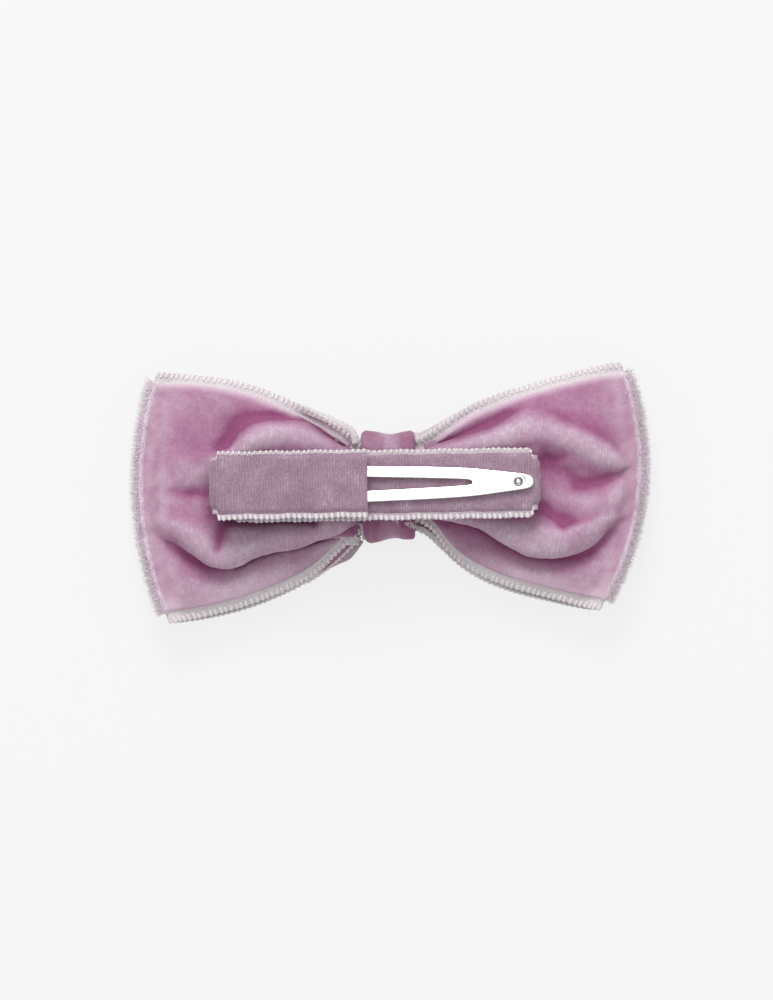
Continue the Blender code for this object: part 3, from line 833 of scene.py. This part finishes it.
def selvage_turns(name, edge_path, inward, ups, seed, bare=(0, 0), size=TURN_SIZE):
    """Turns of weft along a selvage, at the tooth pitch, except on its bare stretch."""
    run = lengths(edge_path)
    draw = random.Random(seed)
    count = int(run[-1] / TOOTH_PITCH)
    starts, ends, normals = [], [], []
    for n in range(count):
        s = (n + 0.5 + draw.uniform(-0.12, 0.12)) * TOOTH_PITCH
        if bare[0] < s < bare[1]:
            continue
        at, way, up = (point_at(s, run, values) for values in (edge_path, inward, ups))
        way /= np.linalg.norm(way)
        slip = point_at(s + 0.15, run, edge_path) - at
        starts.append(at - way * 0.14 + up * 0.02)
        ends.append(at + way * (size[0] + draw.uniform(-0.08, 0.08)) + slip + up * 0.05)
        normals.append(up)
    return capsules(name, starts, ends, normals, WEFT_TURNS, size[1], size[2])


def make_bow():
    """The two loops with the waist, the pleats and the ribbon's end, which are the same ribbon."""
    pieces = []
    for side in ("left", "right"):
        ribbon, grid, normals, edge = make_loop(side)
        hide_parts(f"bow_loop_{side}")
        trim = [loop_pile_ends(side, grid, normals, edge)]
        for name, column, next_column in (("lower", 0, 3), ("upper", -1, -4)):
            inward = grid[:, next_column] - grid[:, column]
            turns_name = f"{side}_{name}_selvage"
            trim.append(selvage_turns(turns_name, grid[:, column], inward, normals[:, column], 31))
        trim += make_pleats(side)
        trim += make_tab() + make_waist() if side == "left" else [make_tuft()]
        pieces += [ribbon] + trim
    return pieces


# ---------------------------------------------------------------- the knot and the gathers

# Across the knot band from one cut edge to the other, which meet inside it: each point is
# (share of half its width, height over the surface)
KNOT_SECTION = [(-0.06, -1.20), (-0.45, -1.24), (-0.78, -1.22), (-0.93, -1.06), (-0.995, -0.70),
                (-0.985, -0.32), (-0.90, -0.06), (-0.74, 0.0), (-0.45, -0.02), (-0.10, -0.10),
                (0.20, -0.04), (0.50, 0.0), (0.76, 0.0), (0.91, -0.06), (0.985, -0.32), (0.995, -0.70),
                (0.93, -1.06), (0.78, -1.22), (0.45, -1.24), (0.06, -1.20)]
KNOT_DENT = 0.30                # depth of the two wrinkles along it
KNOT_OUTER = 0.8                # only what lies nearer the surface than this is dented
KNOT_SQUARENESS = 0.62          # 1 is an oval and 0 a rectangle
KNOT_ROWS = 180
WAIST_ROWS = 220
FAR_FROM_SELVAGE = 9.0
# The knot's upper and lower outline in the picture, as (share of half its width, y)
KNOT_TOP = [(-1.0, 9.2), (-0.8, 9.4), (-0.45, 9.25), (-0.1, 9.0), (0.15, 8.9), (0.4, 9.05), (0.85, 9.42),
            (1.0, 9.3)]
KNOT_FOOT = [(-1.0, -7.15), (-0.75, -7.3), (-0.45, -7.15), (0.0, -6.75), (0.3, -6.55), (0.6, -6.75),
             (1.0, -6.7)]


def closed_band(name, grid, crest, pile, radius, thickness):
    """Ribbon that goes round and meets itself, with pile on its whole width."""
    along = np.array([2 * math.pi * i / len(grid) * radius for i in range(len(grid))])
    layers = {"crest": crest, "edge": np.full(grid.shape[:2], FAR_FROM_SELVAGE)}
    return grid_object(name, grid, along, lengths(grid[0]), layers, [pile, SELVAGE, RIBBON_BACK],
                       np.zeros(grid.shape[1] - 1), thickness, 0.0, closed=True)


def make_knot():
    """Band round the waist with its edges folded in, dented along its length."""
    centre, (half_width, _, half_height) = middle_and_half("knot_band")
    section = smooth_path(KNOT_SECTION, 6)
    grid = np.zeros((KNOT_ROWS, len(section), 3))
    for i in range(KNOT_ROWS):
        angle = 2 * math.pi * i / KNOT_ROWS
        up, out = math.cos(angle), math.sin(angle)
        for j, (share, depth) in enumerate(section):
            outline = KNOT_TOP if up > 0 else KNOT_FOOT
            reach = abs(np.interp(share, [p[0] for p in outline], [p[1] for p in outline]) - centre[1])
            dents = peak(share, 0.2 * up - 0.35, 0.14) + peak(share, 0.42 + 0.2 * out, 0.12)
            dent = KNOT_DENT * dents * abs(out) * (depth > -KNOT_OUTER)
            x = share * half_width - 0.35 * max(0.0, -up) ** 2 * (share < 0) * share * 2
            y = (reach + depth - dent) * math.copysign(abs(up) ** KNOT_SQUARENESS, up)
            z = (half_height + depth - dent) * math.copysign(abs(out) ** KNOT_SQUARENESS, out)
            grid[i, j] = (centre[0] + x, centre[1] + y, centre[2] + z)
    normals = grid_normals(grid)
    shares = section[:, 0]
    if normals[0, len(section) // 2, 1] < 0:
        grid = grid[:, ::-1]
        normals = -normals[:, ::-1]
        shares = shares[::-1]
    grid = grid + normals * (0.05 * field(grid, 0.9) + 0.12 * field(grid, 2.4, 3.0))[:, :, None]
    # Painted shade: the foot, which turns away from the light, is darker, and the crest paints shade into
    # the dents. The middle is paler than the folded edges.
    height = (grid[:, :, 1] - centre[1]) / half_width
    pale_middle = peak(shares, 0.0, 0.45)[None, :] - 0.55
    foot_painted_shade = 0.4 * np.clip(-height, 0, 1)
    crest = 0.7 * field(grid, 3.0, 6.0) + 0.4 * crest_of(grid, normals, ((4, 0.3),))
    crest = crest + pale_middle - foot_painted_shade
    made = closed_band("knot_velvet", grid, np.clip(crest, -1, 1), KNOT_VELVET, 6.5, 0.5)
    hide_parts("knot_band")
    return [made]


def make_waist():
    """Gathered middle of the bow's ribbon, pleated under the thread and the knot."""
    centre, half = middle_and_half("bow_waist")
    stations = np.linspace(-1, 1, 44)
    grid = np.zeros((WAIST_ROWS, len(stations), 3))
    for i in range(WAIST_ROWS):
        angle = 2 * math.pi * i / WAIST_ROWS
        for j, t in enumerate(stations):
            pleat = 0.09 * math.sin(11 * angle + 0.8 * t) + 0.05 * math.sin(23 * angle + 2.0)
            squeeze = 0.92 - 0.10 * peak(t, 0.0, 0.3)
            radius = squeeze * (1 + pleat)
            grid[i, j] = (centre[0] + t * half[0], centre[1] + half[1] * radius * math.cos(angle),
                          centre[2] + half[2] * radius * math.sin(angle))
    normals = grid_normals(grid)
    if normals[0, 20, 1] < 0:
        grid = grid[:, ::-1]
        normals = -normals[:, ::-1]
    # The crest paints shade into the gathers and highlights onto their ridges.
    crest = crest_of(grid, normals, ((3, 0.15),))
    made = closed_band("gathered_waist", grid, crest, BOW_VELVET, 6.0, 0.45)
    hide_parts("bow_waist")
    return [made]


# Ribbon edges that fan out from the knot: the edge's points from the knot outwards, the strip's width,
# the bare weave's width, that weave, and whether turns of weft show along it
PLEATS = {
    "lower_left_pleat": ([(-4.2, -6.55, 5.4), (-6.4, -8.8, 5.2), (-8.7, -10.9, 5.0), (-12.2, -13.3, 4.8)],
                         2.0, 0.28, SELVAGE, True),
    "lower_left_tail": ([(-3.9, -7.15, 3.8), (-5.9, -9.65, 3.5), (-7.6, -10.45, 3.4), (-10.6, -11.9, 3.3)],
                        2.6, 2.6, RIBBON_TAIL, False),
    "lower_left_fold": ([(-4.35, -4.4, 7.4), (-4.3, -5.5, 7.1), (-4.05, -6.9, 6.4)],
                        0.55, 0.55, SELVAGE, False),
    "upper_left_pleat": ([(-4.5, 7.5, 7.9), (-4.8, 8.9, 7.8), (-5.7, 10.0, 7.6), (-7.3, 10.85, 7.3),
                          (-10.0, 12.0, 6.7), (-13.5, 13.4, 6.0)], 1.2, 1.1, SELVAGE, True),
    "upper_right_pleat": ([(3.5, 8.1, 7.3), (5.0, 8.7, 7.1), (6.8, 9.9, 6.8), (9.0, 11.6, 6.5)],
                          1.3, 0.8, SELVAGE, True),
    "lower_right_pleat": ([(3.5, -5.3, 5.0), (5.2, -6.0, 4.8), (7.0, -7.6, 4.7), (9.4, -9.9, 4.6)],
                          1.5, 0.8, SELVAGE, True),
}
# Threads caught between the knot and the clip's lining, below its edge
TUFT_AT = [(1.1, -4.0, 11.35), (2.6, -4.2, 11.3), (3.2, -4.4, 11.2), (3.6, -4.7, 11.1), (4.7, -5.2, 10.2)]
PLEAT_TURN = (0.6, 0.32, 0.24)  # a turn of weft's size on the pleats


def make_tuft():
    """Frayed ends of selvage and sewing thread at the foot of the knot."""
    draw = random.Random(8)
    roots, directions = [], []
    for place in TUFT_AT:
        for _ in range(7):
            roots.append([c + draw.gauss(0, 0.16) for c in place[:2]] + [place[2]])
            way = draw.uniform(-1.0, 1.0), draw.uniform(-1.0, -0.3), draw.uniform(-0.15, 0.15)
            directions.append(way)
    return hairs("frayed_ends", roots, directions, WEFT_TURNS, *FRAY_HAIR, 9)


def make_pleats(side):
    pieces = []
    for number, (name, (points, width, bare, weave, has_turns)) in enumerate(PLEATS.items()):
        if side not in name:
            continue
        path, along = even_path(smooth_path(points, 12), 0.2)
        way = np.gradient(path, axis=0)
        level = np.stack([-way[:, 1], way[:, 0], np.zeros(len(way))], axis=1)
        level /= np.linalg.norm(level, axis=1, keepdims=True)
        inward = -level * math.copysign(1.0, float(np.dot(level[0], (0.0, points[0][1], 0.0))))
        shares = np.linspace(0, width, 14)
        grid = path[:, None, :] + inward[:, None, :] * shares[None, :, None]
        grid[:, :, 2] += 0.25 * np.sin(shares / width * math.pi)[None, :]
        normals = grid_normals(grid)
        if normals[4, 4, 2] < 0:
            grid, path, inward = grid[::-1], path[::-1], inward[::-1]
            normals = -normals[::-1]
        edge = np.broadcast_to(shares, grid.shape[:2]).copy()
        layers = {"crest": np.full(grid.shape[:2], -0.3), "edge": edge}
        pieces.append(grid_object(name, grid, along, shares, layers, [KNOT_VELVET, weave, RIBBON_BACK],
                                  (shares[:-1] < bare - 0.05).astype(int), 0.35, bare))
        if has_turns:
            pieces.append(selvage_turns(f"{name}_turns", path, inward, normals[:, 1], 50 + number,
                                        size=PLEAT_TURN))
    return pieces


def make_tab():
    """End of the bow's ribbon, caught under the knot with its cut edge outwards."""
    low, high = cad_box("ribbon_end_tab")
    rows, columns = 40, 60
    grid = np.zeros((rows, columns, 3))
    for i in range(rows):
        for j in range(columns):
            u, v = i / (rows - 1), j / (columns - 1)
            grid[i, j] = (low[0] + (high[0] - low[0]) * u + 0.1 * math.sin(9 * v),
                          low[1] + (high[1] - low[1]) * v,
                          high[2] - PILE_HEIGHT + 0.25 * math.sin(8 * v + 2 * u) * (1 - 0.5 * u))
    normals = grid_normals(grid)
    edge, across = edge_distances(grid)
    pile = smoothstep(0.9, 1.4, edge)
    surface = grid + normals * ((0.3 + 0.1 * field(grid, 1.0)) * pile)[:, :, None]
    middle = (edge[0, :-1] + edge[0, 1:]) / 2
    layers = {"crest": field(grid, 2.0), "edge": edge}
    made = grid_object("ribbon_end", surface, lengths(grid[:, 30]), across, layers,
                       [BOW_VELVET, SELVAGE, RIBBON_BACK], middle < 1.1, 0.8, 1.1)
    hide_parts("ribbon_end_tab")
    return [made]


# ---------------------------------------------------------------- the clip and its lining

HINGE = frame["joints"][0]
HINGE_AT = [c / MM for c in HINGE["pos_m"]]
TURN = math.atan2(HINGE["axis"][0], -HINGE["axis"][1])
LINING_PILE = 0.32
LINING_BODY = 0.4
LINING_SELVAGE = 0.75
UPPER_PILE_NEARER = 0.3         # how much less of the upper selvage the pile leaves bare
LINING_WIDTH = 9.9
LINING_EDGE_ZONE = 1.2          # where the grid's columns lie closer together
ROW_STEP = 0.2
COVER_START = 1.2               # where the cover ends under the tongue, right of the hinge line
LINER_START = 1.25
LINER_END = 3.4
# Each selvage's column, one further in, and the size of its turns
LINING_TURNS = {"upper": (0, 3, (0.42, 0.34, 0.16)), "lower": (-1, -4, (0.66, 0.50, 0.20))}


def on_clip(points):
    """World points from (along, across, up) points measured from the hinge line."""
    points = np.asarray(points, float)
    c, s = math.cos(TURN), math.sin(TURN)
    x = HINGE_AT[0] + points[..., 0] * c - points[..., 1] * s
    y = HINGE_AT[1] + points[..., 0] * s + points[..., 1] * c
    return np.stack([x, y, HINGE_AT[2] + points[..., 2]], axis=-1)


def arc_points(centre, radius, start, end):
    angles = np.radians(np.linspace(start, end, 16))
    return [(centre[0] + radius * math.cos(a), centre[1] + radius * math.sin(a)) for a in angles]


def lining_strip(name, route, width_at, centre, bare, seed):
    """10 mm velvet ribbon along a route of (along, up) points, pile on the route's left."""
    path, along = even_path(route, ROW_STEP)
    near_edge = np.linspace(0, LINING_EDGE_ZONE, 8, endpoint=False)
    between_zones = np.linspace(LINING_EDGE_ZONE, LINING_WIDTH - LINING_EDGE_ZONE, 36)
    columns = np.concatenate([near_edge, between_zones, LINING_WIDTH - near_edge[::-1]])
    shares = 0.5 - columns / LINING_WIDTH
    grid = np.zeros((len(path), len(shares), 3))
    for i, (x, z) in enumerate(path):
        wobble = 0.12 * math.sin(0.9 * along[i] + seed) + 0.07 * math.sin(2.3 * along[i] + 2 * seed)
        grid[i, :, 0] = x
        grid[i, :, 1] = centre + shares * (width_at(along[i]) + wobble)
        grid[i, :, 2] = z
    grid = on_clip(grid)
    normals = grid_normals(grid)
    edge, across = edge_distances(grid)
    edge = edge + UPPER_PILE_NEARER * (shares > 0)[None, :]
    pile = smoothstep(LINING_SELVAGE - 0.1, LINING_SELVAGE + 0.7, edge)
    uneven = 0.08 * field(grid, 0.8, seed) + 0.14 * field(grid, 2.6, seed + 5)
    sag = -0.12 * (1 - smoothstep(0.0, 2.5, edge))
    surface = grid + normals * ((LINING_PILE + uneven) * pile + sag)[:, :, None]
    # The crest paints shade into hollows and highlights onto rises, over random tone.
    crest = 0.5 * crest_of(grid, normals, ((5, 0.4),)) + 0.5 * field(grid, 2.6, seed + 9)
    middle = (edge[len(edge) // 2, :-1] + edge[len(edge) // 2, 1:]) / 2
    layers = {"crest": np.clip(crest, -1, 1), "edge": edge}
    made = grid_object(name, surface, along, across, layers,
                       [LINING_VELVET, LINING_SELVAGE_WEAVE, RIBBON_BACK], middle < LINING_SELVAGE,
                       LINING_BODY + LINING_PILE, LINING_SELVAGE)
    turns = []
    for label, (column, next_column, size) in LINING_TURNS.items():
        inward = grid[:, next_column] - grid[:, column]
        ups = normals[:, column]
        edge_path = grid[:, column] - 0.06 * ups
        turns.append(selvage_turns(f"{name}_{label}_selvage", edge_path, inward, ups, seed, bare, size))
    return made, turns


def between(x, first, second, third, last):
    """1 from second to third, falling to 0 at first and last."""
    return smoothstep(first, second, x) * (1 - smoothstep(third, last, x))


def make_lining():
    """Cover over the legs and bight, and the lining of the tongue's two sides."""
    cover_high = cad_box("lining_cover")[1]
    liner_low, liner_high = cad_box("lining_ribbon")
    top = cover_high[2] - LINING_PILE - HINGE_AT[2]
    bottom = liner_low[2] + LINING_PILE - HINGE_AT[2]
    hair_side = liner_high[2] - LINING_PILE - HINGE_AT[2]
    cover_end = (cover_high[0] - HINGE_AT[0]) / math.cos(TURN) - 0.1
    nose_end = (liner_high[0] - HINGE_AT[0]) / math.cos(TURN) - 0.1

    cover_route = [(cover_end, top)] + arc_points((0, 0), top, 90, 262) + [(COVER_START, bottom)]
    fold_at = cover_end + top * math.pi / 2

    def cover_width(s):
        return LINING_WIDTH - 1.6 * between(s - fold_at, -2.3, -2.0, 1.9, 2.3)

    cover, cover_turns = lining_strip("cover_ribbon", cover_route, cover_width, 0.1,
                                      (fold_at - 2.3, fold_at + 2.1), 1.3)

    radius = (hair_side - bottom) / 2
    turn_at = nose_end - radius - LINING_PILE
    nose = arc_points((turn_at, bottom + radius), radius, -90, 90)
    liner_route = [(LINER_START, bottom)] + nose + [(LINER_END, hair_side)]
    nose_fold = turn_at - LINER_START + radius * math.pi / 2

    def liner_width(s):
        return LINING_WIDTH + 0.25 - 2.3 * between(s - nose_fold, -2.1, -1.8, 1.5, 1.8)

    liner, liner_turns = lining_strip("liner_ribbon", liner_route, liner_width, -0.2,
                                      (nose_fold - 2.0, nose_fold + 1.7), 4.1)
    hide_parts("lining_cover")
    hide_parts("lining_ribbon")
    for piece in [cover] + cover_turns:
        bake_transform(piece)
    for piece in [liner] + liner_turns:
        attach(piece, "bow")


# Halves of the stamped plate's rim and slot, as (distance from the hinge line, distance from the middle)
LEG_OUTLINE = [(0.35, 3.3), (20.7, 2.65), (30.0, 2.38), (36.2, 2.05), (40.5, 1.55), (44.1, 1.06),
               (44.75, 0.82), (45.06, 0.42), (45.15, 0.0)]
LEG_SLOT = [(2.2, 0.0), (2.3, 1.2), (2.8, 1.72), (18.0, 1.12), (34.8, 0.46), (35.6, 0.36), (36.0, 0.2),
            (36.08, 0.0)]
LEG_EDGE = 0.13                 # rounding of the stamped edges
WELD = 0.002                    # points of the stamped plate that are nearer than this are one


def plate(name, outlines, low, high, material):
    """Flat plate with rounded edges; the first outline is its rim and the others are holes."""
    curve = bpy.data.curves.new(name, "CURVE")
    curve.dimensions = "2D"
    curve.fill_mode = "BOTH"
    curve.extrude = ((high - low) / 2 - LEG_EDGE) * MM
    curve.bevel_depth = LEG_EDGE * MM
    curve.bevel_resolution = 3
    curve.offset = -LEG_EDGE * MM
    for outline in outlines:
        points = on_clip([(x, y, 0.0) for x, y in outline])
        spline = curve.splines.new("POLY")
        spline.points.add(len(points) - 1)
        for target, (x, y, _) in zip(spline.points, points):
            target.co = (x * MM, y * MM, 0.0, 1.0)
        spline.use_cyclic_u = True
    shape = bpy.data.objects.new(f"{name}_outline", curve)
    mesh = bpy.data.meshes.new_from_object(shape)
    welded = bmesh.new()
    welded.from_mesh(mesh)
    bmesh.ops.remove_doubles(welded, verts=welded.verts, dist=WELD * MM)
    welded.normal_update()
    for face in welded.faces:
        face.smooth = abs(face.normal.z) < 0.999
    welded.to_mesh(mesh)
    welded.free()
    mesh.transform(Matrix.Translation((0, 0, (low + high) / 2 * MM)))
    mesh.materials.clear()
    mesh.materials.append(material)
    made = bpy.data.objects.new(name, mesh)
    bpy.context.scene.collection.objects.link(made)
    bpy.data.objects.remove(shape)
    bpy.data.curves.remove(curve)
    return made


def both_sides(half):
    """Closed outline from its half above the centre line."""
    path = smooth_path(half, 6)
    first = 1 if path[0, 1] == 0 else 0
    return [tuple(p) for p in path] + [(x, -y) for x, y in path[first:-1][::-1]]


def dome(name, centre, radius, height, material):
    """Low round rivet head with a soft edge."""
    steps, rings = 32, 8
    vertices, faces = [(centre[0], centre[1], centre[2] + height)], []
    for r in range(1, rings + 1):
        turn = math.pi / 2 * r / rings
        for n in range(steps):
            angle = 2 * math.pi * n / steps
            out = radius * math.sin(turn) ** 0.8
            vertices.append((centre[0] + out * math.cos(angle), centre[1] + out * math.sin(angle),
                             centre[2] + height * math.cos(turn) ** 0.7))
    for n in range(steps):
        m = (n + 1) % steps
        faces.append((0, 1 + n, 1 + m))
        for r in range(rings - 1):
            low = 1 + r * steps
            faces.append((low + n, low + steps + n, low + steps + m, low + m))
    faces.append(tuple(1 + (rings - 1) * steps + n for n in reversed(range(steps))))
    return soup_object(name, vertices, faces, material)


def ring(name, centre, radius, thickness, height, start, end, material, taper=False):
    """Flattened torus round a vertical axis, whole or from one angle to another."""
    vertices, faces = [], []
    steps, sides = 40, 8
    whole = end - start == 360
    stations = steps if whole else steps + 1
    for n in range(stations):
        t = n / steps
        angle = math.radians(start + (end - start) * t)
        thin = math.sin(math.pi * t) ** 0.5 + 0.02 if taper else 1.0
        for s in range(sides):
            turn = 2 * math.pi * s / sides
            out = radius + thickness * thin * math.cos(turn)
            vertices.append((centre[0] + out * math.cos(angle), centre[1] + out * math.sin(angle),
                             centre[2] + height * thin * math.sin(turn)))
    for n in range(steps):
        for s in range(sides):
            t = (s + 1) % sides
            after = (n + 1) % stations * sides
            faces.append((n * sides + s, after + s, after + t, n * sides + t))
    if not whole:
        faces.append(tuple(range(sides)))
        faces.append(tuple(steps * sides + s for s in reversed(range(sides))))
    return soup_object(name, vertices, faces, material)


def make_clip():
    centre, (radius, _, _) = middle_and_half("nose_rivet")
    middle = centre[:2]
    leg_low, leg_high = (corner[2] for corner in cad_box("clip_legs"))
    nose = (middle[0] - HINGE_AT[0]) / math.cos(TURN)
    hole = [(nose + (radius + 0.2) * math.cos(a), (radius + 0.2) * math.sin(a))
            for a in np.linspace(0, 2 * math.pi, 32, endpoint=False)]
    outlines = [both_sides(LEG_OUTLINE), both_sides(LEG_SLOT), hole]
    legs = plate("polished_legs", outlines, leg_low, leg_high, STEEL)
    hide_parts("clip_legs")
    rivet = dome("polished_rivet", (*middle, leg_high - 0.12), radius, 0.28, STEEL)
    shank = ring("rivet_shank", (*middle, leg_low + 0.2), radius - 0.2, 0.2, 0.2, 0, 360, DARK_STEEL_AND_PAINTED_SHADOW)
    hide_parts("nose_rivet")
    # Painted shadow: a dark steel ring over the gap round the rivet head stands in for the countersink's
    # shadow.
    countersink_shadow = ring("rivet_countersink_shadow", (*middle, leg_high - 0.02), radius + 0.16, 0.16, 0.10, 0, 360, DARK_STEEL_AND_PAINTED_SHADOW)
    beside = (middle[0] + 0.15, middle[1] + 0.1, leg_high - 0.01)
    burr = ring("peening_mark", beside, 0.85, 0.09, 0.06, -30, 75, DARK_STEEL_AND_PAINTED_SHADOW, taper=True)
    for piece in (legs, rivet, shank, countersink_shadow, burr):
        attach(piece, "legs")


# ---------------------------------------------------------------- build

add_camera()
add_studio()
for piece in make_bow() + make_knot():
    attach(piece, "bow")
make_lining()
make_clip()
for cad_name, material in (("clip_tongue", STEEL), ("clip_bight", STEEL), ("gathering_thread", THREAD),
                           ("glue_pad", GLUE)):
    for slot in frame["nodes"][cad_name].material_slots:
        slot.material = material
